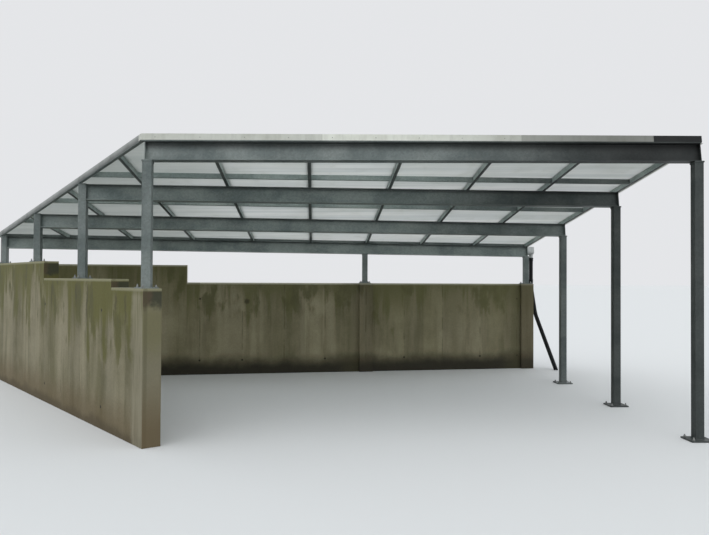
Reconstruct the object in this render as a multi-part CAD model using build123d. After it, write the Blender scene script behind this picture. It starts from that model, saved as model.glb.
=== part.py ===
from build123d import *
import math
import os

os.makedirs("parts", exist_ok=True)

# Open steel carport with an irregular four-sided plan. The roof falls to the back.
# Its left side and its back stand on concrete walls, its right side on the ground.
# The origin is the centre of the front right post's foot, +X runs right, +Y to the back.

# Plan on the roof plane, measured from the front right post, u to the right and v to the back
front_width = 5890
right_depth = 6280
rear_left_width = 9450
rear_left_depth = 5040
bay_count = 3
rear_post_share = 0.661

# Concrete walls, cast in steps
wall_thickness = 200
side_low = 1615
middle_step = 95
high_step = 240
back_step = 25
side_wall_nose = 150
side_step_1 = 750
side_step_2 = 3390
back_high_length = 3050
back_wall_end = 90
pilaster_width = 250
pilaster_depth = 60

# Clear heights of the frame over the low walls, under the cap plates of the right corner posts
front_over_wall = 1385
rear_over_wall = 519
roof_rise_right = 0.74

# Beams, an I section with root fillets and closed ends
beam_height = 200
beam_width = 100
beam_web = 5.6
beam_flange = 8.5
beam_root = 12
beam_end_plate = 8
beam_end = 28
front_beam_left_end = 26

# Posts, square hollow section with a base plate and a sloped cap plate
post_size = 100
post_wall = 4
post_corner = 8
cap_thickness = 15
cap_edge = 4
ground_plate_size = 250
ground_plate_thickness = 15
ground_bolt_spacing = 190
wall_plate_size = 190
wall_plate_thickness = 12
wall_bolt_spacing = 140
bolt_hole = 18

# Rafters, edge rails and cross battens, rectangular hollow section
rafter_height = 60
rafter_width = 40
rafter_wall = 3
rafter_count = 9
last_rafter_inset = 994
batten_rows = (0.26, 0.52, 0.78)

# Roof edges, measured out from the lines of the post centres
front_overhang = 60
right_overhang = 40
left_overhang = 85
rear_overhang = 160
rafter_rear_end = 100

# Roof sheets and their joint strips
sheet_thickness = 16
sheet_gap = 10
strip_width = 60
strip_thickness = 8

# Edge trims of folded metal. The front one stops short of the right corner, the right one has a drip lip
trim_thickness = 2
trim_base = 10
trim_top_flange = 50
trim_lip = 42
front_trim_end = 495

# Gutter, its brackets and the drain pipe
gutter_radius = 65
gutter_upstand = 95
gutter_wall = 3
gutter_rim_height = 20
gutter_tongue_top = 50
gutter_right_end = 260
bracket_width = 30
bracket_thickness = 5
outlet_length = 50
pipe_radius = 38
pipe_wall = 3
pipe_bend = 300
pipe_upright = 550
pipe_drop = 570
pipe_lean = 90
pipe_foot_right = 460
pipe_foot_front = 430

side_middle = side_low + middle_step
wall_high = side_middle + high_step
back_low = side_low + back_step
front_post_height = side_low + front_over_wall
rear_post_height = back_low + rear_over_wall
roof_fall = math.degrees(math.asin((front_post_height - rear_post_height) / right_depth))

seat = beam_height + cap_thickness
roof = Pos(0, 0, front_post_height) * Rot(-roof_fall, -roof_rise_right, 0) * Pos(0, 0, seat)

front_right = Vector(0, 0)
front_left = Vector(-front_width, 0)
rear_right = Vector(0, right_depth)
rear_left = Vector(-rear_left_width, rear_left_depth)


def between(a, b, share):
    return a + (b - a) * share


def side_of(a, b):
    # unit vector to the right of the direction from a to b
    along = (b - a).normalized()
    return Vector(along.Y, -along.X)


def crossing(a, b, c, d):
    # point where the line through a and b meets the line through c and d
    p = b - a
    q = d - c
    share = ((c.X - a.X) * q.Y - (c.Y - a.Y) * q.X) / (p.X * q.Y - p.Y * q.X)
    return a + p * share


def outline(front, right, rear, left):
    # roof quadrilateral with each edge moved out by its own distance
    corners = [front_left, front_right, rear_right, rear_left]
    out = [front, right, rear, left]
    lines = []
    for i in range(4):
        a = corners[i]
        b = corners[(i + 1) % 4]
        move = side_of(a, b) * out[i]
        lines.append((a + move, b + move))
    points = [crossing(*lines[i - 1], *lines[i]) for i in range(4)]
    return make_face(Polyline(*points, close=True))


def slab(face, low, high):
    return Pos(0, 0, low) * extrude(face, high - low, dir=(0, 0, 1))


def strip_face(u, width):
    return Pos(u, right_depth / 2) * Rectangle(width, right_depth * 3)


def save(node, shape):
    export_step(shape, "parts/" + node + ".step")


# Lines of the beams and the points of the posts on the roof plane
beam_lines = []
for i in range(bay_count + 1):
    left = between(front_left, rear_left, i / bay_count)
    right = between(front_right, rear_right, i / bay_count)
    beam_lines.append((left, right))

left_points = [line[0] for line in beam_lines]
right_points = [line[1] for line in beam_lines]
rear_point = between(*beam_lines[-1], rear_post_share)


def ground_point(point):
    # plan position of the upright post whose cap plate carries the beam at this point
    place = (roof * Pos(point.X, point.Y, -seat)).position
    return Vector(place.X, place.Y)


def half_space(location):
    # everything above the location's plane, as far as the carport reaches
    size = front_post_height
    return location * Box(size, size, size, align=(Align.CENTER, Align.CENTER, Align.MIN))


# Beams: the front one lies on its left post, the others butt against theirs
def beam_section():
    flange_y = (beam_height - beam_flange) / 2
    web = Rectangle(beam_web, beam_height - beam_flange)
    flanges = Pos(0, flange_y) * Rectangle(beam_width, beam_flange)
    flanges += Pos(0, -flange_y) * Rectangle(beam_width, beam_flange)
    section = web + flanges
    root_x = beam_web / 2
    root_y = beam_height / 2 - beam_flange
    roots = []
    for vertex in section.vertices():
        if abs(abs(vertex.X) - root_x) < 0.01 and abs(abs(vertex.Y) - root_y) < 0.01:
            roots.append(vertex)
    return fillet(roots, beam_root)


def beam(line, left_end):
    a, b = line
    along = (b - a).normalized()
    start = a - along * left_end
    length = left_end + (b - a).length + beam_end
    plane = Plane(
        origin=(start.X, start.Y, -beam_height / 2),
        x_dir=(along.Y, -along.X, 0),
        z_dir=(along.X, along.Y, 0),
    )
    end_plate = extrude(plane * Rectangle(beam_width, beam_height), beam_end_plate)
    to_right = along * (length - beam_end_plate)
    shape = extrude(plane * beam_section(), length)
    return shape + end_plate + Pos(to_right.X, to_right.Y, 0) * end_plate


save("beam_1", roof * beam(beam_lines[0], front_beam_left_end))
for i in range(1, bay_count + 1):
    place = ground_point(left_points[i])
    post_face = Pos(place.X + post_size / 2, place.Y, front_post_height) * Rot(0, -90, 0)
    save("beam_" + str(i + 1), roof * beam(beam_lines[i], 0) - half_space(post_face))


# Posts, plumb, with their top cut to the slope of the roof
def post(point, cap_low, cap_size, foot_z, plate_size, plate_thickness, bolt_spacing, turn):
    place = ground_point(point)
    foot = Pos(place.X, place.Y, foot_z)
    tube = RectangleRounded(post_size, post_size, post_corner)
    bore = post_size - 2 * post_wall
    tube -= Rectangle(bore, bore)
    shape = foot * Pos(0, 0, plate_thickness) * extrude(tube, front_post_height + beam_height)
    shape -= half_space(roof * Pos(point.X, point.Y, cap_low))
    cap = foot * extrude(Rectangle(cap_size, cap_size), front_post_height + beam_height)
    cap &= half_space(roof * Pos(point.X, point.Y, cap_low))
    cap -= half_space(roof * Pos(point.X, point.Y, cap_low + cap_thickness))
    shape += cap
    plate = Rectangle(plate_size, plate_size)
    for corner in GridLocations(bolt_spacing, bolt_spacing, 2, 2):
        plate -= corner * Circle(bolt_hole / 2)
    shape += foot * Rot(0, 0, turn) * extrude(plate, plate_thickness)
    return shape


side_a = ground_point(left_points[0])
side_b = ground_point(left_points[-1])
back_a = side_b
back_b = ground_point(right_points[-1])
side_along = (side_b - side_a).normalized()
back_along = (back_b - back_a).normalized()
side_turn = math.degrees(math.atan2(side_along.Y, side_along.X))
back_turn = math.degrees(math.atan2(back_along.Y, back_along.X))

under_beam = (-seat, post_size + 2 * cap_edge)
beside_beam = (-cap_thickness, post_size)
on_wall = (wall_plate_size, wall_plate_thickness, wall_bolt_spacing)
on_ground = (ground_plate_size, ground_plate_thickness, ground_bolt_spacing)

wall_steps = [side_low, side_middle] + [wall_high] * (bay_count - 1)
for i, point in enumerate(left_points):
    top = beside_beam if i else under_beam
    save("post_left_" + str(i + 1), post(point, *top, wall_steps[i], *on_wall, side_turn))

for i, point in enumerate(right_points[:-1]):
    save("post_right_" + str(i + 1), post(point, *under_beam, 0, *on_ground, 0))

save("post_right_" + str(bay_count + 1), post(right_points[-1], *under_beam, back_low, *on_wall, back_turn))
save("post_rear_middle", post(rear_point, *under_beam, back_low, *on_wall, back_turn))


# Concrete walls
def wall_block(a, along, start, stop, low_side, high_side, height):
    # block beside the line through a: low_side and high_side are measured to its left
    across = Vector(-along.Y, along.X)
    corners = [
        a + along * start + across * low_side,
        a + along * stop + across * low_side,
        a + along * stop + across * high_side,
        a + along * start + across * high_side,
    ]
    return extrude(make_face(Polyline(*corners, close=True)), height, dir=(0, 0, 1))


half_wall = wall_thickness / 2
side_length = (side_b - side_a).length
back_length = (back_b - back_a).length
reach = 2 * wall_thickness

side_wall = wall_block(side_a, side_along, -side_wall_nose, side_step_1, -half_wall, half_wall, side_low)
side_wall += wall_block(side_a, side_along, side_step_1, side_step_2, -half_wall, half_wall, side_middle)
side_wall += wall_block(side_a, side_along, side_step_2, side_length + reach, -half_wall, half_wall, wall_high)
behind = wall_block(back_a, back_along, -3 * reach, 3 * reach, half_wall, half_wall + 3 * reach, wall_high)
side_wall -= behind
save("side_wall", side_wall)

left_of_side = wall_block(side_a, side_along, 0, side_length + 3 * reach, -half_wall, 3 * reach, wall_high)
back_high = wall_block(back_a, back_along, -reach, back_high_length, -half_wall, half_wall, wall_high)
back_high -= left_of_side
save("back_wall_high", back_high)

wall_end = back_length + back_wall_end
back_wall = wall_block(back_a, back_along, back_high_length, wall_end, -half_wall, half_wall, back_low)
pilaster_at = back_length * rear_post_share - pilaster_width / 2
for start in (pilaster_at, wall_end - pilaster_width):
    stop = start + pilaster_width
    back_wall += wall_block(back_a, back_along, start, stop, -half_wall - pilaster_depth, -half_wall, back_low)
save("back_wall_low", back_wall)


# Rafters, edge rails and battens between them
def hollow(face, core_face):
    shape = slab(face, 0, rafter_height)
    shape -= slab(core_face, rafter_wall, rafter_height - rafter_wall)
    return shape


core = rafter_width - 2 * rafter_wall
sheet_region = outline(front_overhang, right_overhang, rear_overhang, left_overhang)
rail_back = front_overhang - rafter_width
rail_face = sheet_region - outline(rail_back, reach, reach, reach)
rail_core = outline(front_overhang - rafter_wall, reach, reach, reach)
rail_core -= outline(rail_back + rafter_wall, 2 * reach, 2 * reach, 2 * reach)
save("front_rail", roof * hollow(rail_face, rail_core))

rail_front = rafter_rear_end - rafter_width
rail_face = outline(0, right_overhang, rafter_rear_end, left_overhang - rafter_width)
rail_face -= outline(reach, reach, rail_front, reach)
rail_core = outline(0, reach, rafter_rear_end - rafter_wall, reach)
rail_core -= outline(reach, 2 * reach, rail_front + rafter_wall, 2 * reach)
save("rear_rail", roof * hollow(rail_face, rail_core))

first_u = right_overhang - rafter_width / 2
rafter_pitch = (rear_left_width - last_rafter_inset + first_u) / (rafter_count - 1)
rafter_us = [first_u - i * rafter_pitch for i in range(rafter_count)]
rafter_region = outline(rail_back, right_overhang, rail_front, left_overhang - rafter_width)
for i, u in enumerate(rafter_us):
    tube = hollow(strip_face(u, rafter_width), strip_face(u, core))
    save("rafter_" + str(i + 1), roof * (tube & slab(rafter_region, 0, rafter_height)))

rake_face = outline(rail_back, right_overhang, rafter_rear_end, left_overhang)
rake_face -= outline(reach, reach, reach, left_overhang - rafter_width)
rake_core = outline(reach, right_overhang, reach, left_overhang - rafter_wall)
rake_core -= outline(2 * reach, right_overhang, 2 * reach, left_overhang - rafter_width + rafter_wall)
save("rafter_rake", roof * hollow(rake_face, rake_core))

battens = []
for share in batten_rows:
    a = between(front_left, rear_left, share)
    b = between(front_right, rear_right, share)
    turn = math.degrees(math.atan2(b.Y - a.Y, b.X - a.X))
    middle = between(a, b, 0.5)
    line = Pos(middle.X, middle.Y) * Rot(0, 0, turn)
    row = hollow(line * Rectangle(2 * rear_left_width, rafter_width), line * Rectangle(2 * rear_left_width, core))
    row &= slab(rafter_region, 0, rafter_height)
    for u in rafter_us:
        row -= slab(strip_face(u, rafter_width), 0, rafter_height)
    battens += row.solids()
save("battens", roof * Compound(children=battens))

# Roof sheets, one between each pair of joint lines
sheet_us = [right_overhang] + rafter_us[1:] + [-2 * rear_left_width]
for i in range(rafter_count):
    right_edge = sheet_us[i] - (sheet_gap / 2 if i else 0)
    left_edge = sheet_us[i + 1] + sheet_gap / 2
    band = Pos((left_edge + right_edge) / 2, right_depth / 2) * Rectangle(right_edge - left_edge, right_depth * 3)
    sheet = slab(sheet_region & band, rafter_height, rafter_height + sheet_thickness)
    save("roof_sheet_" + str(i + 1), roof * sheet)

# Joint strips over the sheet edges
sheet_top = rafter_height + sheet_thickness
inner_top = outline(
    front_overhang - trim_top_flange,
    right_overhang - trim_top_flange,
    rear_overhang,
    left_overhang - trim_top_flange,
)
strips = []
for u in rafter_us[1:]:
    strips.append(slab(strip_face(u, strip_width) & inner_top, sheet_top, sheet_top + strip_thickness))
save("joint_strips", roof * Compound(children=strips))


# Edge trims: an upright leg outside the roof edge and a flange on the sheets
def trim_outline(rear):
    return outline(
        front_overhang + trim_thickness,
        right_overhang + trim_thickness,
        rear,
        left_overhang + trim_thickness,
    )


trim_top = sheet_top + trim_thickness
legs = slab(trim_outline(rafter_rear_end) - sheet_region, trim_base, trim_top)
flanges = slab(trim_outline(rear_overhang) - inner_top, sheet_top, trim_top)
trim_ring = legs + flanges
front_depth = trim_top_flange + trim_thickness
front_middle = front_depth / 2 - front_overhang - trim_thickness
front_band = Pos(0, front_middle) * Rectangle(rear_left_width * 3, front_depth)
front_trim = Pos(-rear_left_width - front_trim_end, front_middle) * Rectangle(rear_left_width * 2, front_depth)
front_ring = trim_ring & slab(front_band, -beam_height, beam_height)
front_block = slab(front_trim, -beam_height, beam_height)
save("fascia_front", roof * (front_ring & front_block))
save("fascia_end", roof * (front_ring - front_block))
rest = trim_ring - slab(front_band, -beam_height, beam_height)
right_band = Pos(0, right_depth / 2) * Rectangle(rafter_pitch, right_depth * 3)
right_block = slab(right_band, -beam_height, beam_height)
lip_face = outline(
    front_overhang - trim_top_flange,
    right_overhang + trim_thickness + trim_lip,
    rafter_rear_end,
    left_overhang,
)
lip_face -= outline(reach, right_overhang, reach, reach)
drip_lip = slab(lip_face, trim_base, trim_base + trim_thickness)
save("edge_trim_right", roof * ((rest & right_block) + drip_lip))
save("fascia_left", roof * (rest - right_block))

# Gutter along the rear edge, drawn in a plane across it
rear_along = (rear_right - rear_left).normalized()
rear_side = Vector(-rear_along.Y, rear_along.X)
gutter_out = rafter_rear_end + bracket_thickness + gutter_radius
gutter_start = rear_left + rear_side * gutter_out
gutter_straight = (rear_right - rear_left).length + gutter_right_end - gutter_radius
gutter_plane = Plane(
    origin=(gutter_start.X, gutter_start.Y, gutter_rim_height - gutter_upstand),
    x_dir=(rear_side.X, rear_side.Y, 0),
    z_dir=(rear_along.X, rear_along.Y, 0),
)
mouth_sign = 1 if gutter_plane.y_dir.Z > 0 else -1


def trough(radius):
    # section of a half-round trough with upright sides, mouth upwards
    bowl = Circle(radius) & Pos(0, -mouth_sign * radius / 2) * Rectangle(2 * radius, radius)
    sides = Pos(0, mouth_sign * gutter_upstand / 2) * Rectangle(2 * radius, gutter_upstand)
    return bowl + sides


def trough_body(radius):
    # the filled trough, its ends rounded in plan by turning half the section
    section = trough(radius)
    half = Rectangle(radius, 4 * gutter_upstand)
    left = revolve(section & Pos(radius / 2, 0) * half, axis=Axis.Y, revolution_arc=180)
    right = revolve(section & Pos(-radius / 2, 0) * half, axis=Axis.Y, revolution_arc=180)
    return extrude(section, gutter_straight, dir=(0, 0, 1)) + left + Pos(0, 0, gutter_straight) * right


outlet = gutter_start + rear_along * gutter_straight
bowl_centre = (roof * Pos(outlet.X, outlet.Y, gutter_rim_height - gutter_upstand)).position
outlet_low = Vector(bowl_centre.X, bowl_centre.Y, bowl_centre.Z - gutter_radius - outlet_length)
outlet_height = bowl_centre.Z - outlet_low.Z
spigot = Pos(outlet_low) * extrude(Circle(pipe_radius), outlet_height)
drain = Pos(outlet_low) * extrude(Circle(pipe_radius - pipe_wall), outlet_height)
gutter = roof * (gutter_plane * trough_body(gutter_radius)) + spigot
gutter -= roof * (gutter_plane * trough_body(gutter_radius - gutter_wall))
save("gutter", gutter - drain)

# Gutter brackets: a band under the trough with a tongue on the rafter's end
brackets = []
band = trough(gutter_radius + bracket_thickness) - trough(gutter_radius)
tongue_height = gutter_tongue_top - gutter_rim_height
tongue_y = gutter_upstand + tongue_height / 2
tongue = Pos(-gutter_radius - bracket_thickness / 2, mouth_sign * tongue_y) * Rectangle(
    bracket_thickness, tongue_height
)
for u in rafter_us:
    end = crossing(rear_left, rear_right, Vector(u, 0), Vector(u, right_depth))
    distance = (end - rear_left).dot(rear_along)
    shift = rear_along * (distance - bracket_width / 2)
    brackets.append(Pos(shift.X, shift.Y, 0) * extrude(gutter_plane * (band + tongue), bracket_width))
save("gutter_brackets", roof * Compound(children=brackets))

# Drain pipe: down beside the back wall's end, then leaning out and forward to the ground
lean_point = Vector(outlet_low.X, outlet_low.Y, outlet_low.Z - pipe_upright)
knee = Vector(lean_point.X + pipe_lean, lean_point.Y, lean_point.Z - pipe_drop)
foot = Vector(pipe_foot_right, back_b.Y - pipe_foot_front, 0)
path = FilletPolyline(outlet_low, lean_point, knee, foot, radius=pipe_bend)
ring = Circle(pipe_radius) - Circle(pipe_radius - pipe_wall)
pipe = sweep(Plane(origin=outlet_low, z_dir=(0, 0, -1)) * ring, path=path)
above_ground = Pos(foot.X, foot.Y, front_post_height / 2) * Box(front_post_height, front_post_height, front_post_height)
save("downpipe", pipe & above_ground)
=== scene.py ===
import math
import random

import bpy
from mathutils import Matrix, Vector


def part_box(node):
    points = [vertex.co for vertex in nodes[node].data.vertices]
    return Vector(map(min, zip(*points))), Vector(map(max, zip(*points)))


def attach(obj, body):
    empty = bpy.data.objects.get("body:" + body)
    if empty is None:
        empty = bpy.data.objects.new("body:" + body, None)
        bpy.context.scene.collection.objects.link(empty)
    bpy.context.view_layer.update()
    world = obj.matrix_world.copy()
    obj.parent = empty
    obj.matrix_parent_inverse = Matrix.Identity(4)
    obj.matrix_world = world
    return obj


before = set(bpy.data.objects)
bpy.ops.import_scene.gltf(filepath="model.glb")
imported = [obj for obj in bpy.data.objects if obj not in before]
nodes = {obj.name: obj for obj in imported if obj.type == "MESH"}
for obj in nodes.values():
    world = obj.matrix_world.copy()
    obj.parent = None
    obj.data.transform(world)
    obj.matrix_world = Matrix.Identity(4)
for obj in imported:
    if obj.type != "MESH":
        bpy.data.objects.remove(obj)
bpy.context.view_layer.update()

# The origin is the foot of the front right post, +X runs right, +Y to the back, +Z up.
# Plan on the roof plane, from the front right post: u to the right, v to the back, w up from the beams
FRONT_WIDTH = 5.89
RIGHT_DEPTH = 6.28
REAR_LEFT_WIDTH = 9.45
REAR_LEFT_DEPTH = 5.04
FRONT_OVERHANG = 0.060
RIGHT_OVERHANG = 0.040
TRIM_THICKNESS = 0.002

# Heights and thicknesses of the roof's frame
FRONT_POST_HEIGHT = 3.0
REAR_POST_HEIGHT = 2.159
BEAM_HEIGHT = 0.200
CAP_THICKNESS = 0.015
RAFTER_HEIGHT = 0.060
RAFTER_WIDTH = 0.040
RAFTER_COUNT = 9
LAST_RAFTER_INSET = 0.994
SHEET_THICKNESS = 0.016
STRIP_THICKNESS = 0.008
EDGE_TRIM_HEIGHT = 0.09
ROOF_FALL = math.asin((FRONT_POST_HEIGHT - REAR_POST_HEIGHT) / RIGHT_DEPTH)
ROOF_RISE_RIGHT = math.radians(0.74)

TILT = Matrix.Rotation(-ROOF_FALL, 4, "X") @ Matrix.Rotation(-ROOF_RISE_RIGHT, 4, "Y")
POST_TOPS = Matrix.Translation((0, 0, FRONT_POST_HEIGHT)) @ TILT
ROOF = POST_TOPS @ Matrix.Translation((0, 0, BEAM_HEIGHT + CAP_THICKNESS))
ROOF_U, ROOF_V, ROOF_W = (TILT.col[k].to_3d() for k in range(3))
UP = (0, 0, 1)

# Posts with their base plates
LEFT_POSTS = ["post_left_1", "post_left_2", "post_left_3", "post_left_4"]
GROUND_POSTS = ["post_right_1", "post_right_2", "post_right_3"]
BACK_POSTS = ["post_right_4", "post_rear_middle"]
POST_SIZE = 0.100
POST_CORNER = 0.008
GROUND_PLATE_THICKNESS = 0.015
GROUND_BOLT_SPACING = 0.190
WALL_PLATE_THICKNESS = 0.012
WALL_BOLT_SPACING = 0.140
PIPE_RADIUS = 0.038

# Walls: heights of their steps and places along them, measured from the first and the corner post
SIDE_LOW = 1.615
SIDE_MIDDLE = 1.71
WALL_HIGH = 1.95
BACK_LOW = 1.64
SIDE_STEP_1 = 0.75
SIDE_STEP_2 = 3.39
BACK_HIGH_LENGTH = 3.05
PILASTER_LEFT = 6.17
PIER_LEFT = 9.37


def foot_of(name):
    low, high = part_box(name)
    return Vector(((low.x + high.x) / 2, (low.y + high.y) / 2, low.z))


def level_direction(start, end):
    return Vector((end.x - start.x, end.y - start.y, 0)).normalized()


def heading(direction):
    return math.atan2(direction.y, direction.x)


def scaled(colour, factor):
    return [part * factor for part in colour]


SIDE_START = foot_of("post_left_1")
CORNER = foot_of("post_left_4")
SIDE_ALONG = level_direction(SIDE_START, CORNER)
BACK_ALONG = level_direction(CORNER, foot_of("post_right_4"))

# Painted shade: the front right corner is the darkest, and the least share of a tone is left there.
# The dark starts at one X and is full at the other, and fades out between two values of Y.
SHADED_STEEL = {"least": 0.31, "start": -3.4, "full": -0.9}
SHADED_FRONT = {"least": 0.12, "start": -3.4, "full": -0.5}
SHADED_TRIM = {"least": 0.42, "start": -3.4, "full": -0.9}
SHADED_SHEET = {"least": 0.92, "start": -3.4, "full": -0.9}
SHADED_Y = (1.8, 6.2)

# Painted shadow: the beams are darker just under the roof, from one W to the other
FRONT_ROOF_SHADOW = {"least": 0.36, "start": -0.108, "full": -0.02}
INNER_ROOF_SHADOW = {"least": 0.45, "start": -0.05, "full": -0.005}

# Sockets of a colour mix node
MIX_FIRST = 6
MIX_SECOND = 7
MIX_RESULT = 2


# Materials
class Look:
    """A material built from nodes over the object's own coordinates, with its colour so far."""

    def __init__(self, name, metallic=0.0):
        self.material = bpy.data.materials.new(name)
        self.material.use_nodes = True
        self.tree = self.material.node_tree
        self.shader = self.tree.nodes["Principled BSDF"]
        self.shader.inputs["Metallic"].default_value = metallic
        self.place = self.add("ShaderNodeTexCoord").outputs["Object"]
        self.x, self.y, self.z = self.add("ShaderNodeSeparateXYZ", (self.place,)).outputs
        self.colour = None

    def feed(self, socket, value):
        if isinstance(value, bpy.types.NodeSocket):
            self.tree.links.new(value, socket)
        else:
            socket.default_value = value

    def add(self, kind, values=(), **settings):
        node = self.tree.nodes.new(kind)
        for key, value in settings.items():
            setattr(node, key, value)
        for index, value in enumerate(values):
            self.feed(node.inputs[index], value)
        return node

    def math(self, operation, *values):
        return self.add("ShaderNodeMath", values, operation=operation).outputs[0]

    def plus(self, total, *values):
        for value in values:
            total = self.math("ADD", total, value)
        return total

    def times(self, product, *values):
        for value in values:
            product = self.math("MULTIPLY", product, value)
        return product

    def minus(self, first, second):
        return self.math("SUBTRACT", first, second)

    def over(self, value, limit):
        """1 where the value is over the limit."""
        return self.math("GREATER_THAN", value, limit)

    def under(self, value, limit):
        """1 where the value is under the limit."""
        return self.math("LESS_THAN", value, limit)

    def beside(self, value, middle):
        """How far the value lies to either side of the middle."""
        return self.math("ABSOLUTE", self.minus(value, middle))

    def away(self, sideways, upwards):
        """Distance from a point, from the distances along two axes."""
        return self.math("SQRT", self.plus(self.math("POWER", sideways, 2), self.math("POWER", upwards, 2)))

    def sway(self, noise, reach):
        """A noise that swings about 0 over a reach."""
        return self.times(self.minus(noise, 0.5), reach)

    def vector(self, x, y, z):
        return self.add("ShaderNodeCombineXYZ", (x, y, z)).outputs[0]

    def grey(self, value):
        return self.vector(value, value, value)

    def stretched(self, x, y, z):
        return self.add("ShaderNodeVectorMath", (self.place, (x, y, z)), operation="MULTIPLY").outputs[0]

    def aligned(self, vector, direction):
        node = self.add("ShaderNodeVectorMath", (vector, tuple(direction)), operation="DOT_PRODUCT")
        return node.outputs["Value"]

    def measure(self, direction, origin=(0, 0, 0)):
        """Distance from the origin along a direction."""
        shifted = self.add("ShaderNodeVectorMath", (self.place, tuple(origin)), operation="SUBTRACT")
        return self.aligned(shifted.outputs[0], direction)

    def facing(self, direction):
        """1 where the surface faces a direction, -1 where it faces away."""
        return self.aligned(self.add("ShaderNodeNewGeometry").outputs["Normal"], direction)

    def noise(self, scale, detail=4.0, roughness=0.6, place=None):
        node = self.add("ShaderNodeTexNoise")
        self.feed(node.inputs["Vector"], place or self.place)
        self.feed(node.inputs["Scale"], scale)
        self.feed(node.inputs["Detail"], detail)
        self.feed(node.inputs["Roughness"], roughness)
        return node.outputs[0]

    def cells(self, scale, output):
        node = self.add("ShaderNodeTexVoronoi")
        self.feed(node.inputs["Vector"], self.place)
        self.feed(node.inputs["Scale"], scale)
        return node.outputs[output]

    def chance(self, number):
        """A random value from 0 to 1, always the same for the same number."""
        node = self.add("ShaderNodeTexWhiteNoise", noise_dimensions="1D")
        self.feed(node.inputs["W"], number)
        return node.outputs["Value"]

    def ramp(self, value, low, high, out_low=0.0, out_high=1.0):
        limits = (value, low, high, out_low, out_high)
        return self.add("ShaderNodeMapRange", limits, interpolation_type="SMOOTHSTEP").outputs[0]

    def mix(self, share, first, second, blend="MIX"):
        node = self.add("ShaderNodeMix", (share,), data_type="RGBA", blend_type=blend)
        for index, colour in ((MIX_FIRST, first), (MIX_SECOND, second)):
            is_socket = isinstance(colour, bpy.types.NodeSocket)
            self.feed(node.inputs[index], colour if is_socket else (*colour, 1))
        return node.outputs[MIX_RESULT]

    def lay(self, share, colour, blend="MIX"):
        """Lays a colour over a share of what is there."""
        self.colour = self.mix(share, self.colour, colour, blend)

    def tone(self, share):
        """Multiplies the colour so far."""
        self.lay(1.0, self.grey(share), "MULTIPLY")

    def shade_corner(self, least, start, full):
        near_right = self.ramp(self.x, start, full)
        near_front = self.ramp(self.y, *SHADED_Y, 1.0, 0.0)
        self.tone(self.plus(self.times(near_right, near_front, least - 1), 1.0))

    def shade_under_roof(self, least, start, full):
        w = self.measure(ROOF_W, ROOF.translation)
        self.tone(self.ramp(w, start, full, 1.0, least))

    def finish(self, roughness, height, strength, distance=0.001):
        bump = self.add("ShaderNodeBump")
        self.feed(bump.inputs["Strength"], strength)
        self.feed(bump.inputs["Distance"], distance)
        self.feed(bump.inputs["Height"], height)
        self.feed(self.shader.inputs["Base Color"], self.colour)
        self.feed(self.shader.inputs["Roughness"], roughness)
        self.feed(self.shader.inputs["Normal"], bump.outputs[0])
        return self.material

    def let_through(self, share):
        """Lets a share of the light through, in the material's colour."""
        through = self.add("ShaderNodeBsdfTranslucent", (self.colour,))
        blend = self.add("ShaderNodeMixShader", (share, self.shader.outputs[0], through.outputs[0]))
        self.feed(self.tree.nodes["Material Output"].inputs["Surface"], blend.outputs[0])


ZINC_DARK = [0.170, 0.205, 0.200]
ZINC_LIGHT = [0.262, 0.300, 0.288]
ZINC_PALE = [0.335, 0.365, 0.345]


def galvanised_steel(name, shade, sides=None, corner=SHADED_STEEL, under_roof=None):
    """Dull zinc with broad clouds, its tones multiplied by shade.

    sides multiplies the tone of upright faces with painted light from the sheets, kept also in the dark
    corner.
    corner gives the painted shade towards the front right corner, and under_roof the painted shadow just
    under the roof.
    """
    look = Look(name, metallic=0.25)
    clouds = look.ramp(look.noise(1.9, 4, 0.55), 0.34, 0.68)
    smears = look.ramp(look.noise(5.5, 4, 0.6, look.stretched(0.35, 0.35, 1)), 0.42, 0.72)
    runs = look.ramp(look.noise(9, 4, 0.6, look.stretched(1, 1, 0.14)), 0.45, 0.75)
    spangle = look.add("ShaderNodeSeparateXYZ", (look.cells(55, "Color"),)).outputs[0]
    pale = scaled(ZINC_PALE, shade)
    look.colour = look.mix(clouds, scaled(ZINC_DARK, shade), scaled(ZINC_LIGHT, shade))
    look.lay(look.times(smears, 0.35), pale)
    look.lay(look.times(runs, 0.22), pale)
    look.lay(0.10, look.grey(spangle), "OVERLAY")
    unshaded = look.colour
    # Painted shade towards the front right corner
    look.shade_corner(**corner)
    # Painted light from the sheets on upright faces, without the corner's painted shade
    if sides:
        upright = look.ramp(look.math("ABSOLUTE", look.facing(UP)), 0.3, 0.6, 1.0, 0.0)
        look.lay(upright, look.mix(1.0, unshaded, look.grey(sides), "MULTIPLY"))
    # Painted shadow just under the roof
    if under_roof:
        look.shade_under_roof(**under_roof)
    height = look.plus(look.times(clouds, 0.5), look.noise(160, 3, 0.5))
    return look.finish(look.ramp(clouds, 0, 1, 0.66, 0.52), height, 0.12)


# On the walls, in metres. A fade says where something is full and where it has gone,
# and a start says where it begins and where it is full.
STEP_SLACK = 0.004
JOINT_FADE = (0.003, 0.018)
JOINT_START = (0.12, 0.30)
TIE_FADE = (0.012, 0.024)
TIE_TONE = [0.02, 0.018, 0.014]
ARRIS_FADE = (0.012, 0.040)
ARRIS_WEAR = 0.03
FOOT_SWAY = 0.26
# Rows of tie holes: which tone says how many of them are open, and their height
TIE_ROWS = (("low_ties", 0.25), ("high_ties", 1.35))


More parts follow.
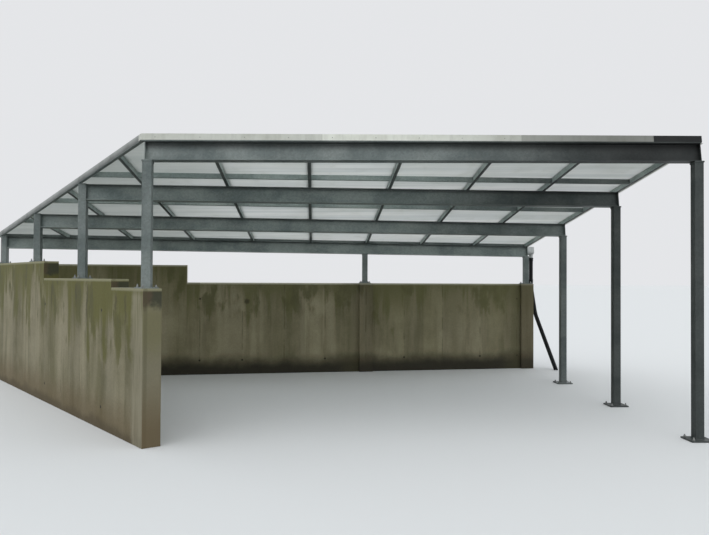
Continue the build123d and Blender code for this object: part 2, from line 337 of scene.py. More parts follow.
class Concrete(Look):
    """Cast concrete of a wall, measured along it from an origin and down from its stepped top.

    first_top is the top's height at the origin, and steps are (distance along, height from there on).
    first_joint and joint_pitch place the joints of the formwork.
    """

    def __init__(self, name, tones, origin, along, first_top, steps, first_joint, joint_pitch):
        super().__init__(name)
        self.tones = tones
        self.joint_pitch = joint_pitch
        self.run = self.measure(along, origin)
        self.from_joint = self.minus(self.run, first_joint)
        # distance to the nearest joint
        self.lane = self.math("PINGPONG", self.from_joint, joint_pitch / 2)
        self.below = self.minus(self.top_height(first_top, steps), self.z)
        self.grain = self.noise(42, 6, 0.7)
        self.cloud = self.ramp(self.noise(1.5, 5, 0.6), 0.36, 0.66)
        tall = self.drawn_out(0.10, 0.0)
        short = self.drawn_out(0.42, 4.0)
        self.broad = self.ramp(self.noise(2.2, 2, 0.5, tall), 0.40, 0.60)
        self.streak = self.ramp(self.noise(5.5, 4, 0.55, tall), 0.47, 0.64)
        self.fine_streak = self.ramp(self.noise(24, 3, 0.5, tall), 0.42, 0.68)
        self.blot = self.ramp(self.noise(3.4, 4, 0.55, short), 0.52, 0.64)
        self.cast()
        self.grow()
        self.soak_foot()
        self.draw_joints()
        self.drill_ties()
        self.pale_top()
        self.open_pores()

    def top_height(self, first_top, steps):
        """Height of the wall's top above each place along it."""
        top = first_top
        before = first_top
        for at, height in steps:
            top = self.plus(top, self.times(self.over(self.run, at - STEP_SLACK), height - before))
            before = height
        return top

    def drawn_out(self, share, layer):
        """A place for noise that is drawn out down the wall, which makes streaks."""
        return self.vector(self.run, self.times(self.z, share), layer)

    def stain(self, share, tone):
        """Lays one of the wall's own tones, given by its name, over a share of it."""
        self.lay(share, self.tones[tone])

    def cast(self):
        """Clouds and streaks, with another tone for each board of the formwork, two to a pitch."""
        board = self.math("FLOOR", self.math("DIVIDE", self.from_joint, self.joint_pitch / 2))
        self.colour = self.mix(self.cloud, self.tones["dark"], self.tones["light"])
        self.stain(self.times(self.broad, 0.55), "pale")
        self.tone(self.ramp(self.chance(board), 0.0, 1.0, 0.90, 1.09))
        self.stain(self.times(self.streak, self.tones["streaks"]), "stain")
        self.stain(self.times(self.fine_streak, 0.09), "pale")

    def grow(self):
        """Green growth from the top edge down, in tongues, with dark blots in it."""
        shares = ((self.streak, 0.40), (self.blot, 0.40), (self.broad, -0.25), (self.cloud, 0.30))
        ragged = self.plus(*(self.times(value, share) for value, share in shares))
        reach = self.tones["growth_depth"]
        depth = self.minus(self.below, self.times(ragged, reach))
        self.growth = self.ramp(depth, -0.05, self.tones["growth_soft"], 1.0, 0.0)
        self.stain(self.times(self.growth, self.tones["growth"]), "algae")
        dark_reach = self.ramp(self.below, 0.05, reach, 1.0, 0.2)
        self.stain(self.times(self.blot, dark_reach, self.tones["blots"]), "stain")

    def soak_foot(self):
        """Rising damp and splashed soil at the foot, with a ragged upper edge."""
        wet = self.tones["wet"]
        foot = self.plus(self.z, self.sway(self.noise(2.4, 5, 0.6), FOOT_SWAY))
        self.stain(self.ramp(foot, wet * 0.8, self.tones["splash"], 0.7, 0.0), "soil")
        self.stain(self.ramp(foot, wet * 0.35, wet * 1.45, self.tones["wet_share"], 0.0), "damp")

    def draw_joints(self):
        """Joints between the boards, which fade out in places."""
        broken = self.ramp(self.noise(1.9, 3, 0.5, self.stretched(1, 1, 2)), 0.42, 0.60)
        joint = self.ramp(self.lane, *JOINT_FADE, 0.5, 0.0)
        self.seam = self.times(joint, broken, self.ramp(self.z, *JOINT_START))
        self.stain(self.seam, "stain")

    def drill_ties(self):
        """Tie holes on the joints, a share of them in each row."""
        chance = self.chance(self.math("ROUND", self.math("DIVIDE", self.from_joint, self.joint_pitch)))
        holes = []
        for share, height in TIE_ROWS:
            away = self.away(self.lane, self.minus(self.z, height))
            kept = self.under(chance, self.tones[share])
            holes.append(self.times(self.ramp(away, *TIE_FADE, 0.9, 0.0), kept))
        self.holes = self.plus(*holes)
        self.lay(self.holes, TIE_TONE)

    def pale_top(self):
        """Pale arris, partly wear and partly painted light, and painted light on the faces that look up."""
        worn = self.plus(self.below, self.sway(self.grain, ARRIS_WEAR))
        self.stain(self.ramp(worn, *ARRIS_FADE, 0.9, 0.0), "arris")
        self.stain(self.ramp(self.facing(UP), 0.5, 0.9, 0, 0.8), "upper")

    def open_pores(self):
        """Open pores in patches, and the grain over all."""
        pores = self.ramp(self.cells(30, "Distance"), 0.0, 0.16, 0.7, 0.0)
        self.pores = self.times(pores, self.ramp(self.noise(3.3, 3), 0.45, 0.62))
        self.stain(self.pores, "stain")
        self.lay(0.30, self.grey(self.grain), "OVERLAY")

    def finish_wall(self):
        sunk = self.plus(self.seam, self.holes, self.pores)
        height = self.plus(self.grain, self.times(sunk, -1.5), self.times(self.fine_streak, 0.4))
        return self.finish(self.ramp(self.growth, 0, 1, 0.92, 0.75), height, 0.5, 0.004)


# First joint of the formwork and the joints' pitch
SIDE_JOINTS = (0.30, 0.75)
BACK_JOINTS = (0.265, 0.753)

# Narrow drips down the side wall: place along it, where they end below the top, half their width
DRIPS = (
    (0.32, 0.50, 0.035),
    (0.62, 0.34, 0.05),
    (1.55, 0.62, 0.05),
    (1.98, 0.40, 0.035),
    (3.0, 0.5, 0.06),
)
DRIP_SWAY = 0.16
DRIP_START = (0.03, 0.12)
DRIP_TONE = [0.062, 0.055, 0.022]
# The pale strip along the wall and its sway, and where it starts below the top
STRIP_FADE = (0.07, 0.19)
STRIP_SWAY = 0.22
STRIP_START = (0.02, 0.10)
# On the end face: the patch below the top, damp and partly painted shade, the rust and a band of painted
# shade across it, and the soil above the ground
PATCH_START = (0.015, 0.04)
PATCH_FADE = (0.13, 0.22)
PATCH_SWAY = 0.26
RUST_START = (0.0, 0.06)
SHADE_BAND_START = (0.045, 0.06)
SHADE_BAND_FADE = (0.085, 0.095)
SOIL_FADE = (0.12, 0.80)
MOSSY_PATCH = [0.042, 0.044, 0.024]
RUSTY_PATCH = [0.085, 0.060, 0.034]


def side_concrete(tones):
    """The side wall also has drips, a pale strip beside its end, and a damp patch and painted shade on the
    end face.
    """
    steps = ((SIDE_STEP_1, SIDE_MIDDLE), (SIDE_STEP_2, WALL_HIGH))
    look = Concrete("side_wall_look", tones, SIDE_START, SIDE_ALONG, SIDE_LOW, steps, *SIDE_JOINTS)
    swaying_run = look.plus(look.run, look.sway(look.noise(5), DRIP_SWAY))
    drip_start = look.ramp(look.below, *DRIP_START)
    for at, end, half in DRIPS:
        across_drip = look.ramp(look.beside(swaying_run, at), half * 0.3, half, 0.62, 0.0)
        down_drip = look.ramp(look.below, end * 0.55, end, 1.0, 0.0)
        look.lay(look.times(across_drip, down_drip, drip_start), DRIP_TONE)
    from_end = look.plus(look.run, look.sway(look.noise(6), STRIP_SWAY))
    strip = look.ramp(from_end, *STRIP_FADE, 0.75, 0.0)
    lines = look.ramp(look.noise(30, 3, 0.5, look.drawn_out(0.05, 9.0)), 0.4, 0.6)
    under_top = look.ramp(look.below, *STRIP_START, 0.4, 1.0)
    look.stain(look.times(strip, under_top, look.ramp(lines, 0, 1, 1.0, 0.55)), "strip")

    end_face = look.over(look.facing(-SIDE_ALONG), 0.7)
    across = look.measure((-SIDE_ALONG.y, SIDE_ALONG.x, 0), SIDE_START)
    wander = look.sway(look.noise(5, 5, 0.65), PATCH_SWAY)
    # The patch below the top is damp and partly painted shade
    patch = look.ramp(look.plus(look.below, wander), *PATCH_FADE, 0.93, 0.0)
    patch = look.times(end_face, patch, look.ramp(look.below, *PATCH_START))
    rusty = look.ramp(look.plus(across, wander), *RUST_START)
    look.lay(patch, look.mix(rusty, MOSSY_PATCH, RUSTY_PATCH))
    # A band of painted shade across the end face
    shade_band = look.ramp(across, *SHADE_BAND_START, 0.0, 0.30)
    shade_band = look.times(shade_band, look.ramp(across, *SHADE_BAND_FADE, 1.0, 0.0))
    look.stain(look.times(shade_band, end_face), "stain")
    splash = look.ramp(look.plus(look.z, look.times(wander, 0.6)), *SOIL_FADE, 0.80, 0.0)
    look.stain(look.times(splash, end_face), "soil")
    return look.finish_wall()


# The growth on the back wall is thicker outside these two places along it, and fades out downwards
THIN_GROWTH = (3.277, 6.423)
THICK_FADE = (0.2, 1.0)
# The dark knot: its place along the wall and its height
KNOT = (4.10, 1.30)
KNOT_FADE = (0.025, 0.065)
KNOT_SWAY = 0.06
KNOT_TONE = [0.050, 0.044, 0.022]
# The pale ridge that a gap in the formwork left, with its ends above the ground and below the top
RIDGE = 5.505
RIDGE_FADE = (0.008, 0.024)
RIDGE_FOOT_START = (0.40, 0.60)
RIDGE_TOP_START = (0.05, 0.14)
# The left edges of the pilaster and the pier with the share of brown on them, and the shade before them
BROWN_EDGES = ((PILASTER_LEFT, 0.40), (PIER_LEFT, 0.62))
BROWN_WIDTH = 0.26
BROWN_START = (0.08, 0.34)
SHADE_REACH = 0.5


def back_concrete(tones):
    """The back wall is darker beside the pilaster and the pier, where little light reaches."""
    steps = ((BACK_HIGH_LENGTH, BACK_LOW),)
    look = Concrete("back_wall_look", tones, CORNER, BACK_ALONG, WALL_HIGH, steps, *BACK_JOINTS)
    at_ends = look.plus(look.under(look.run, THIN_GROWTH[0]), look.over(look.run, THIN_GROWTH[1]))
    look.stain(look.times(at_ends, look.ramp(look.below, *THICK_FADE, 0.35, 0.0)), "algae")

    from_knot = look.away(look.minus(look.run, KNOT[0]), look.minus(look.z, KNOT[1]))
    from_knot = look.plus(from_knot, look.sway(look.noise(14), KNOT_SWAY))
    look.lay(look.ramp(from_knot, *KNOT_FADE, 0.75, 0.0), KNOT_TONE)
    ridge = look.ramp(look.beside(look.run, RIDGE), *RIDGE_FADE, 0.45, 0.0)
    above_foot = look.ramp(look.z, *RIDGE_FOOT_START)
    look.stain(look.times(ridge, above_foot, look.ramp(look.below, *RIDGE_TOP_START)), "pale")

    for at, share in BROWN_EDGES:
        before = look.minus(at, look.run)
        shade = look.times(look.ramp(before, 0.0, SHADE_REACH, 0.50, 0.0), look.over(before, 0.0))
        look.stain(shade, "stain")
        brown = look.times(look.under(before, 0.0), look.over(before, -BROWN_WIDTH))
        look.stain(look.times(brown, look.ramp(look.z, *BROWN_START, 0.35, 1.0), share), "pier")
    return look.finish_wall()


# The roof sheets: their flutes, their tones and the share of light that passes them and the thin trim
FLUTE_PITCH = 0.016
SHEET_DIM = [0.83, 0.86, 0.855]
SHEET_CLEAR = [0.975, 0.985, 0.975]
SHEET_LINES = [0.69, 0.72, 0.71]
SHEET_DIRT = [0.69, 0.71, 0.65]
SHEET_BLOTCH = [0.58, 0.60, 0.54]
SHEET_OLD = [0.60, 0.63, 0.61]
SHEET_LIGHT_SHARE = 0.72
LIP_LIGHT_SHARE = 0.55
# The sheets at the left end are the dirtiest, and their front most of all
OLD_FADE_X = (-7.2, -4.9)
OLD_FRONT_FADE_X = (-5.6, -4.5)
OLD_FRONT_FADE_Y = (1.2, 1.75)


def multiwall_sheet():
    """The flutes run across the fall, and the sheets are lighter and darker in bands along them."""
    look = Look("multiwall_sheet_look")
    u = look.measure(ROOF_U)
    v = look.measure(ROOF_V)
    flute = look.math("SINE", look.times(v, 2 * math.pi / FLUTE_PITCH))
    along_bands = look.vector(look.times(u, 0.12), look.times(v, 2.6), 0.0)
    along_lines = look.vector(look.times(u, 0.10), look.times(v, 2.6), 3.0)
    bands = look.ramp(look.noise(1.6, 5, 0.62, along_bands), 0.36, 0.66)
    lines = look.ramp(look.noise(6.5, 4, 0.6, along_lines), 0.44, 0.66)
    dirt = look.ramp(look.noise(1.1, 5, 0.65), 0.35, 0.75)
    blotch = look.ramp(look.noise(3.7, 5, 0.6), 0.52, 0.7)
    look.colour = look.mix(bands, SHEET_DIM, SHEET_CLEAR)
    look.lay(look.times(lines, 0.30), SHEET_LINES)
    look.lay(look.times(dirt, 0.22), SHEET_DIRT)
    look.lay(look.times(blotch, 0.20), SHEET_BLOTCH)
    look.lay(look.ramp(look.x, *OLD_FADE_X, 0.55, 0.0), SHEET_OLD)
    front = look.ramp(look.y, *OLD_FRONT_FADE_Y, 1.0, 0.0)
    look.lay(look.times(look.ramp(look.x, *OLD_FRONT_FADE_X, 0.36, 0.0), front), SHEET_OLD)
    # Painted shade towards the front right corner
    look.shade_corner(**SHADED_SHEET)
    look.finish(0.35, look.plus(flute, look.noise(60, 2)), 0.10)
    look.let_through(SHEET_LIGHT_SHARE)
    return look.material


def thin_white_trim():
    """The right edge trim lets some light through, so its drip lip shows pale from below."""
    look = Look("thin_trim_look")
    soil = look.ramp(look.noise(4.0, 6, 0.65), 0.4, 0.75)
    look.colour = look.mix(soil, [0.72, 0.74, 0.70], [0.52, 0.54, 0.48])
    look.lay(look.ramp(look.noise(22, 4), 0.55, 0.75, 0, 0.3), [0.40, 0.40, 0.34])
    look.finish(0.4, look.noise(110, 3), 0.08)
    look.let_through(LIP_LIGHT_SHARE)
    return look.material


# How far the seam between two lengths of a trim shows
SEAM_FADE = (0.004, 0.012)


def sheet_metal(name, light, dark, metallic, rough, lengths=(), edges=None):
    """Painted or bare sheet metal. lengths are (X of a length's right end, its tone), left to right, and
    bring painted shade.

    edges are the tones at the lower and the upper edge of a roof trim: painted shade below, painted light
    above.
    """
    look = Look(name, metallic=metallic)
    soil = look.ramp(look.noise(3.0, 6, 0.65), 0.4, 0.75)
    run_off = look.ramp(look.noise(16, 4, 0.6, look.stretched(1, 1, 0.12)), 0.45, 0.75)
    look.colour = look.mix(soil, light, dark)
    look.lay(look.times(run_off, 0.25), scaled(dark, 0.6))
    if lengths:
        tone = lengths[0][1]
        for (end, before), (_, after) in zip(lengths, lengths[1:]):
            tone = look.plus(tone, look.times(look.over(look.x, end), after - before))
            look.lay(look.ramp(look.beside(look.x, end), *SEAM_FADE, 0.5, 0.0), dark)
        look.tone(tone)
        # Painted shade on the faces that look down, and towards the front right corner
        look.lay(look.ramp(look.facing(UP), -0.8, -0.3, 0.5, 0.0), scaled(dark, 0.5))
        look.shade_corner(**SHADED_TRIM)
    # Painted shade along the lower edge and painted light along the upper edge
    if edges:
        look.tone(look.ramp(look.measure(ROOF_W, ROOF.translation), 0.0, EDGE_TRIM_HEIGHT, *edges))
    return look.finish(look.ramp(soil, 0, 1, rough, rough + 0.2), look.noise(120, 3, 0.5), 0.08)


def drain_plastic():
    look = Look("drain_plastic_look")
    dust = look.ramp(look.noise(5, 5, 0.65), 0.4, 0.8)
    look.colour = look.mix(dust, [0.006, 0.007, 0.008], [0.018, 0.019, 0.017])
    look.shader.inputs["Specular IOR Level"].default_value = 0.2
    return look.finish(look.ramp(dust, 0, 1, 0.45, 0.7), look.noise(70, 3), 0.08)


# Steel: shade is its tone against plain zinc
STEEL = galvanised_steel("outer_steel_look", shade=0.83)
# Painted shade on the front beam, deep at the front right corner, and a painted shadow just under the roof
FRONT_STEEL = galvanised_steel(
    "front_beam_look", shade=0.88, corner=SHADED_FRONT, under_roof=FRONT_ROOF_SHADOW
)
# Painted light: the inner beams are lighter for the light that the sheets let down on them; painted shadow
# just under the roof
INNER_STEEL = galvanised_steel("inner_beam_look", shade=1.32, under_roof=INNER_ROOF_SHADOW)
# Painted shade on the rafters' undersides, and painted light from the sheets on their upright sides
RAFTER_STEEL = galvanised_steel("rafter_look", shade=0.55, sides=3.9)
LIGHT_STEEL = galvanised_steel("batten_look", shade=2.0)
# Painted shade: the dark end is this steel made near black
SHADED_END_STEEL = galvanised_steel("shaded_end_look", shade=0.15)
WELD = galvanised_steel("weld_look", shade=0.8)

# Sheet metal: light tone, dark tone, metallic share, roughness
CREAM = ([0.74, 0.755, 0.68], [0.62, 0.63, 0.55], 0.0, 0.4)
# The left trim is a darker grey than the front trim
LEFT_GREY = ([0.30, 0.315, 0.30], [0.23, 0.24, 0.228], 0.0, 0.5)
# Lengths of the front trim: X of the right end and the tone of each
FRONT_LENGTHS = ((-4.08, 0.93), (-1.95, 1.21), (0.1, 0.86))
TRIM = sheet_metal("cream_trim_look", *CREAM, lengths=FRONT_LENGTHS)
LEFT_TRIM = sheet_metal("left_trim_look", *LEFT_GREY, edges=(0.45, 1.5))
FASTENER = sheet_metal("zinc_fastener_look", [0.36, 0.37, 0.36], [0.17, 0.17, 0.15], 0.6, 0.38)
STRIP = sheet_metal("strip_look", [0.55, 0.56, 0.55], [0.36, 0.37, 0.35], 0.6, 0.35)
GUTTER = sheet_metal("gutter_look", [0.62, 0.64, 0.63], [0.44, 0.46, 0.45], 0.1, 0.45)
SHEET = multiwall_sheet()
LIP = thin_white_trim()
PIPE = drain_plastic()
SIDE = side_concrete(
    {
        "light": [0.275, 0.247, 0.160],
        "dark": [0.175, 0.160, 0.088],
        "pale": [0.375, 0.337, 0.235],
        "stain": [0.080, 0.076, 0.032],
        "algae": [0.115, 0.110, 0.014],
        "streaks": 0.27,
        "growth": 0.92,
        "growth_depth": 1.0,
        "growth_soft": 0.60,
        "blots": 0.60,
        "wet": 0.10,
        "wet_share": 0.7,
        "splash": 0.55,
        "damp": [0.090, 0.070, 0.038],
        "soil": [0.16, 0.116, 0.058],
        "arris": [0.34, 0.325, 0.20],
        "upper": [0.27, 0.27, 0.20],
        "strip": [0.345, 0.315, 0.225],
        "low_ties": 0.25,
        "high_ties": 0.3,
    }
)
BACK = back_concrete(
    {
        "light": [0.352, 0.318, 0.195],
        "dark": [0.252, 0.229, 0.132],
        "pale": [0.455, 0.405, 0.270],
        "stain": [0.105, 0.096, 0.046],
        "algae": [0.160, 0.154, 0.054],
        "streaks": 0.30,
        "growth": 0.76,
        "growth_depth": 0.8,
        "growth_soft": 0.40,
        "blots": 0.55,
        "wet": 0.26,
        "wet_share": 0.95,
        "splash": 0.42,
        "damp": [0.030, 0.027, 0.017],
        "soil": [0.19, 0.168, 0.100],
        "arris": [0.80, 0.77, 0.60],
        "upper": [0.50, 0.48, 0.37],
        "pier": [0.105, 0.085, 0.050],
        "low_ties": 0.62,
        "high_ties": 0.13,
    }
)

# The first of these that a node's name starts with gives its material
LOOKS = (
    ("beam_1", FRONT_STEEL),
    ("beam", INNER_STEEL),
    ("battens", LIGHT_STEEL),
    ("post", STEEL),
    ("front_rail", STEEL),
    ("rear_rail", STEEL),
    ("rafter_rake", STEEL),
    ("rafter", RAFTER_STEEL),
    ("fascia_front", TRIM),
    ("fascia_end", SHADED_END_STEEL),
    ("fascia_left", LEFT_TRIM),
    ("edge_trim_right", LIP),
    ("roof_sheet", SHEET),
    ("joint_strips", STRIP),
    ("gutter", GUTTER),
    ("downpipe", PIPE),
    ("side_wall", SIDE),
    ("back_wall", BACK),
)

for name, node in nodes.items():
    chosen = next(look for start, look in LOOKS if name.startswith(start))
    for index in range(len(node.data.materials)):
        node.data.materials[index] = chosen


# Small pieces
class Shape:
    """Collects simple solids into one mesh."""

    # a weld's cross-section: out from the post and up from the plate, in shares of its size
    BEAD = ((-0.2, 1.0), (0.55, 0.75), (1.0, -0.1))
    # how much that size changes along the weld
    RIPPLE = 0.16
    RIPPLE_STEP = 1.9
    UNEVENNESS = 0.08
    SHARP_ANGLE = math.radians(38)

    def __init__(self):
        self.points = []
        self.faces = []

    def turned(self, place, profile, sides, phase=0.0):
        """A solid of revolution about place's Z; profile is (radius, height) from bottom to top."""
        start = len(self.points)
        for radius, height in profile:
            for k in range(sides):
                angle = phase + 2 * math.pi * k / sides
                local = Vector((radius * math.cos(angle), radius * math.sin(angle), height))
                self.points.append(place @ local)
        for ring in range(len(profile) - 1):
            for k in range(sides):
                a = start + ring * sides + k
                b = start + ring * sides + (k + 1) % sides
                self.faces.append((a, b, b + sides, a + sides))
        last = start + (len(profile) - 1) * sides
        self.faces.append(tuple(range(start, start + sides))[::-1])
        self.faces.append(tuple(range(last, last + sides)))

    def bead(self, place, outline, size, seed):
        """A rippled weld along a closed outline of (x, y, nx, ny) in place's XY plane."""
        ripple = random.Random(seed)
        start = len(self.points)
        count = len(outline)
        for index, (x, y, nx, ny) in enumerate(outline):
            uneven = ripple.uniform(-self.UNEVENNESS, self.UNEVENNESS)
            reach = size * (1 + self.RIPPLE * math.sin(index * self.RIPPLE_STEP) + uneven)
            for out, up in self.BEAD:
                local = Vector((x + nx * out * reach, y + ny * out * reach, up * reach))
                self.points.append(place @ local)
        rows = len(self.BEAD)
        for index in range(count):
            for k in range(rows - 1):
                a = start + index * rows + k
                b = start + ((index + 1) % count) * rows + k
                self.faces.append((a, b, b + 1, a + 1))

    def build(self, name, material):
        mesh = bpy.data.meshes.new(name)
        mesh.from_pydata([tuple(p) for p in self.points], [], self.faces, shade_flat=False)
        mesh.set_sharp_from_angle(angle=self.SHARP_ANGLE)
        mesh.materials.append(material)
        mesh.validate()
        piece = bpy.data.objects.new(name, mesh)
        bpy.context.scene.collection.objects.link(piece)
        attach(piece, "root")


def rounded_square(half, corner, per_side, per_corner):
    """Points and outward normals round a square with rounded corners."""
    points = []
    for quarter in range(4):
        turn = Matrix.Rotation(quarter * math.pi / 2, 2)
        for k in range(per_side):
            y = -half + corner + (2 * half - 2 * corner) * k / per_side
            p = turn @ Vector((half, y))
            n = turn @ Vector((1, 0))
            points.append((p.x, p.y, n.x, n.y))
        for k in range(per_corner):
            angle = math.pi / 2 * k / per_corner
            n = Vector((math.cos(angle), math.sin(angle)))
            p = turn @ (Vector((half - corner, half - corner)) + n * corner)
            n = turn @ n
            points.append((p.x, p.y, n.x, n.y))
    return points


# Profiles of (radius, height) from bottom to top, and the sides of the solids turned from them
WASHER = [(0.015, 0), (0.015, 0.003)]
WASHER_SIDES = 24
NUT_TOP = 0.016
NUT = [(0.0125, 0.003), (0.0138, 0.0045), (0.0138, 0.0145), (0.0122, NUT_TOP)]
NUT_SIDES = 6
STUD_RADIUS = 0.008
STUD_CHAMFER = 0.0015
STUD_LENGTH = 0.024
LONGER_STUD = 0.012
STUD_SIDES = 16
BOLT_SEED = 4
SEAL = [(0.010, 0), (0.010, 0.0015)]
SEAL_SIDES = 16
SCREW = [(0.0075, 0.0015), (0.0075, 0.003), (0.0055, 0.0058), (0.0025, 0.0066)]
SCREW_SIDES = 12
TRIM_SCREW = [(0.0045, 0), (0.0045, 0.0012), (0.0028, 0.0026)]
TRIM_SCREW_SIDES = 10
SOCKET_BODY = [(0.0385, 0.0), (0.0425, 0.004), (0.0425, 0.052)]
SOCKET = SOCKET_BODY + [(0.0450, 0.056), (0.0450, 0.068), (0.0385, 0.072)]
SOCKET_SIDES = 40

POST_OUTLINE = rounded_square(POST_SIZE / 2, POST_CORNER, per_side=26, per_corner=3)
FOOT_WELD = 0.006
CAP_WELD = 0.004


def add_bolt(anchors, spot, nut_turn, end):
    """A washer, a nut and a stud that ends so far above the plate."""
    tip = (STUD_RADIUS - STUD_CHAMFER, end + STUD_CHAMFER)
    anchors.turned(spot, WASHER, WASHER_SIDES)
    anchors.turned(spot, NUT, NUT_SIDES, nut_turn)
    anchors.turned(spot, [(STUD_RADIUS, NUT_TOP), (STUD_RADIUS, end), tip], STUD_SIDES)


def add_feet():
    """Anchor bolts on the base plates, four to each, and the welds round the posts."""
    anchors = Shape()
    welds = Shape()
    shuffle = random.Random(BOLT_SEED)
    for posts, turn, spacing, thickness in (
        (LEFT_POSTS, heading(SIDE_ALONG), WALL_BOLT_SPACING, WALL_PLATE_THICKNESS),
        (BACK_POSTS, heading(BACK_ALONG), WALL_BOLT_SPACING, WALL_PLATE_THICKNESS),
        (GROUND_POSTS, 0.0, GROUND_BOLT_SPACING, GROUND_PLATE_THICKNESS),
    ):
        for post_name in posts:
            plate_top = Matrix.Translation(foot_of(post_name) + Vector((0, 0, thickness)))
            welds.bead(plate_top, POST_OUTLINE, FOOT_WELD, post_name)
            for sx in (-0.5, 0.5):
                for sy in (-0.5, 0.5):
                    to_bolt = Matrix.Translation((sx * spacing, sy * spacing, 0))
                    spot = plate_top @ Matrix.Rotation(turn, 4, "Z") @ to_bolt
                    nut_turn = shuffle.uniform(0, 2 * math.pi / NUT_SIDES)
                    end = STUD_LENGTH + shuffle.uniform(0, LONGER_STUD)
                    add_bolt(anchors, spot, nut_turn, end)
    anchors.build("anchor_bolts", FASTENER)
    welds.build("foot_welds", WELD)


# Any height above the roof
ABOVE_ROOF = 4


def cap_meeting(foot):
    """The point of the cap plates' plane, in its own coordinates, where a post's axis meets it."""
    local = POST_TOPS.inverted()
    low_point = local @ Vector((foot.x, foot.y, 0))
    high_point = local @ Vector((foot.x, foot.y, ABOVE_ROOF))
    share = -low_point.z / (high_point.z - low_point.z)
    return low_point + (high_point - low_point) * share


def add_cap_welds():
    """Welds under the cap plates, with the beads upside down."""
    welds = Shape()
    downwards = Matrix.Diagonal((1, 1, -1, 1))
    for post_name in LEFT_POSTS[:1] + GROUND_POSTS + BACK_POSTS:
        meeting = Matrix.Translation(cap_meeting(foot_of(post_name)))
        welds.bead(POST_TOPS @ meeting @ downwards, POST_OUTLINE, CAP_WELD, "cap" + post_name)
    welds.build("cap_welds", WELD)


# Joint strips lie over the rafters between the first and the last one
FIRST_U = RIGHT_OVERHANG - RAFTER_WIDTH / 2
LAST_U = -REAR_LEFT_WIDTH + LAST_RAFTER_INSET
RAFTER_PITCH = (FIRST_U - LAST_U) / (RAFTER_COUNT - 1)
STRIP_TOP = RAFTER_HEIGHT + SHEET_THICKNESS + STRIP_THICKNESS
# Screws along a strip, and how far the end ones lie from the lines of the posts
STRIP_SCREW_PITCH = 0.36
REAR_SCREW = 0.13
FRONT_SCREW = 0.04
SLANT_SCREW = 0.06

# Screws along the trims: their height, first place, pitch and number
TRIM_SCREW_W = 0.040
FRONT_SCREWS = (-0.75, -0.46, 12)
RIGHT_SCREWS = (0.25, 0.48, 13)


def strip_ends(u):
    """v of the first and the last screw of the joint strip at u."""
    rear_slope = (RIGHT_DEPTH - REAR_LEFT_DEPTH) / REAR_LEFT_WIDTH
    left_slope = REAR_LEFT_DEPTH / (REAR_LEFT_WIDTH - FRONT_WIDTH)
    rear_v = REAR_LEFT_DEPTH + (REAR_LEFT_WIDTH + u) * rear_slope + REAR_SCREW
    if u > -FRONT_WIDTH:
        return FRONT_SCREW, rear_v
    return (-u - FRONT_WIDTH) * left_slope + SLANT_SCREW, rear_v


def spaced(first, pitch, count):
    return [first + pitch * n for n in range(count)]


def add_roof_screws():
    """Screws with sealing washers on the joint strips, and plain ones along the edge trims."""
    screws = Shape()
    seals = Shape()
    for k in range(1, RAFTER_COUNT):
        u = FIRST_U - RAFTER_PITCH * k
        front_v, rear_v = strip_ends(u)
        count = max(2, round((rear_v - front_v) / STRIP_SCREW_PITCH) + 1)
        for v in spaced(front_v, (rear_v - front_v) / (count - 1), count):
            spot = ROOF @ Matrix.Translation((u, v, STRIP_TOP))
            seals.turned(spot, SEAL, SEAL_SIDES)
            screws.turned(spot, SCREW, SCREW_SIDES)
    front_face = -FRONT_OVERHANG - TRIM_THICKNESS
    right_face = RIGHT_OVERHANG + TRIM_THICKNESS
    to_front = Matrix.Rotation(math.pi / 2, 4, "X")
    to_right = Matrix.Rotation(math.pi / 2, 4, "Y")
    for u in spaced(*FRONT_SCREWS):
        spot = ROOF @ Matrix.Translation((u, front_face, TRIM_SCREW_W)) @ to_front
        screws.turned(spot, TRIM_SCREW, TRIM_SCREW_SIDES)
    for v in spaced(*RIGHT_SCREWS):
        spot = ROOF @ Matrix.Translation((right_face, v, TRIM_SCREW_W)) @ to_right
        screws.turned(spot, TRIM_SCREW, TRIM_SCREW_SIDES)
    screws.build("roof_screws", FASTENER)
    seals.build("screw_seals", PIPE)


# How far below the outlet the sockets start
SOCKET_DROPS = (0.075, 0.50)


def add_pipe_sockets():
    """Sockets where the lengths of the drain pipe meet."""
    low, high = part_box("downpipe")
    top = Vector((low.x + PIPE_RADIUS, high.y - PIPE_RADIUS, high.z))
    sockets = Shape()
    for drop in SOCKET_DROPS:
        sockets.turned(Matrix.Translation(top - Vector((0, 0, drop))), SOCKET, SOCKET_SIDES)
    sockets.build("pipe_sockets", PIPE)


add_feet()
add_cap_welds()
add_roof_screws()
add_pipe_sockets()


# Floor, backdrop, light and camera.
# The floor and the sky have one tone that lights the object and another that the camera sees.
FLOOR_SIZE = 400
FLOOR_Z = -0.002
FLOOR_LIT = (0.16, 0.16, 0.15, 1)
FLOOR_SEEN = (0.73, 0.735, 0.735, 1)
SKY_LIT = (0.93, 0.97, 1.0, 1)
SKY_STRENGTH = 0.95
SKY_SEEN = (0.78, 0.79, 0.81, 1)
LAMP_ENERGY = 0.6
LAMP_SPREAD = math.radians(70)
LAMP_TILT = math.radians(38)
LAMP_TURN = math.radians(-28)


def seen_directly(tree):
    """1 for rays from the camera and for their reflections, 0 for the light that falls on the object."""
    path = tree.nodes.new("ShaderNodeLightPath")
    share = path.outputs["Is Camera Ray"]
    for ray in ("Is Glossy Ray", "Is Transmission Ray"):
        larger = tree.nodes.new("ShaderNodeMath")
        larger.operation = "MAXIMUM"
        tree.links.new(share, larger.inputs[0])
        tree.links.new(path.outputs[ray], larger.inputs[1])
        share = larger.outputs[0]
    return share


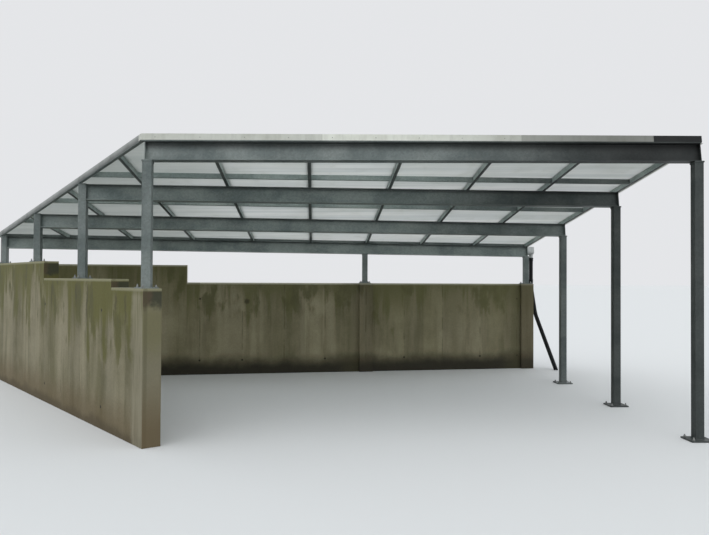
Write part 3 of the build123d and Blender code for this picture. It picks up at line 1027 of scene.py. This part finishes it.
def add_floor():
    bpy.ops.mesh.primitive_plane_add(size=FLOOR_SIZE, location=(0, 0, FLOOR_Z))
    floor = bpy.context.object
    floor.name = "floor"
    look = bpy.data.materials.new("floor_look")
    look.use_nodes = True
    tree = look.node_tree
    shader = tree.nodes["Principled BSDF"]
    shader.inputs["Roughness"].default_value = 0.9
    shader.inputs["Specular IOR Level"].default_value = 0.1
    mix = tree.nodes.new("ShaderNodeMix")
    mix.data_type = "RGBA"
    mix.inputs[MIX_FIRST].default_value = FLOOR_LIT
    mix.inputs[MIX_SECOND].default_value = FLOOR_SEEN
    tree.links.new(seen_directly(tree), mix.inputs[0])
    tree.links.new(mix.outputs[MIX_RESULT], shader.inputs["Base Color"])
    floor.data.materials.append(look)


def add_sky():
    world = bpy.data.worlds.new("sky")
    bpy.context.scene.world = world
    world.use_nodes = True
    tree = world.node_tree
    light = tree.nodes["Background"]
    light.inputs["Color"].default_value = SKY_LIT
    light.inputs["Strength"].default_value = SKY_STRENGTH
    seen = tree.nodes.new("ShaderNodeBackground")
    seen.inputs["Color"].default_value = SKY_SEEN
    mix = tree.nodes.new("ShaderNodeMixShader")
    tree.links.new(seen_directly(tree), mix.inputs[0])
    tree.links.new(light.outputs[0], mix.inputs[1])
    tree.links.new(seen.outputs[0], mix.inputs[2])
    tree.links.new(mix.outputs[0], tree.nodes["World Output"].inputs["Surface"])


def add_lamp():
    data = bpy.data.lights.new("soft_lamp", "SUN")
    data.energy = LAMP_ENERGY
    data.angle = LAMP_SPREAD
    lamp = bpy.data.objects.new("soft_lamp", data)
    lamp.rotation_euler = (LAMP_TILT, 0, LAMP_TURN)
    bpy.context.scene.collection.objects.link(lamp)


# The camera that was fitted to the photograph, with its angles in radians
EYE = (-4.15971, -7.44259, 1.73202)
YAW = 0.05747
PITCH_UP = 0.0152
ROLL = 0.00521
FOCAL_PIXELS = 705.84
PICTURE_WIDTH_PIXELS = 709
SENSOR_WIDTH = 36
CLIP_END = 500


def add_camera():
    level_forward = Vector((math.sin(YAW), math.cos(YAW), 0)) * math.cos(PITCH_UP)
    forward = level_forward + Vector((0, 0, math.sin(PITCH_UP)))
    level = Vector((math.cos(YAW), -math.sin(YAW), 0))
    upright = level.cross(forward)
    right = level * math.cos(ROLL) + upright * math.sin(ROLL)
    up = upright * math.cos(ROLL) - level * math.sin(ROLL)
    data = bpy.data.cameras.new("camera")
    data.sensor_width = SENSOR_WIDTH
    data.lens = FOCAL_PIXELS / PICTURE_WIDTH_PIXELS * SENSOR_WIDTH
    data.clip_end = CLIP_END
    camera = bpy.data.objects.new("camera", data)
    axes = Matrix((right, up, -forward)).transposed().to_4x4()
    camera.matrix_world = Matrix.Translation(EYE) @ axes
    bpy.context.scene.collection.objects.link(camera)
    bpy.context.scene.camera = camera


add_floor()
add_sky()
add_lamp()
add_camera()
bpy.context.scene.view_settings.view_transform = "Standard"
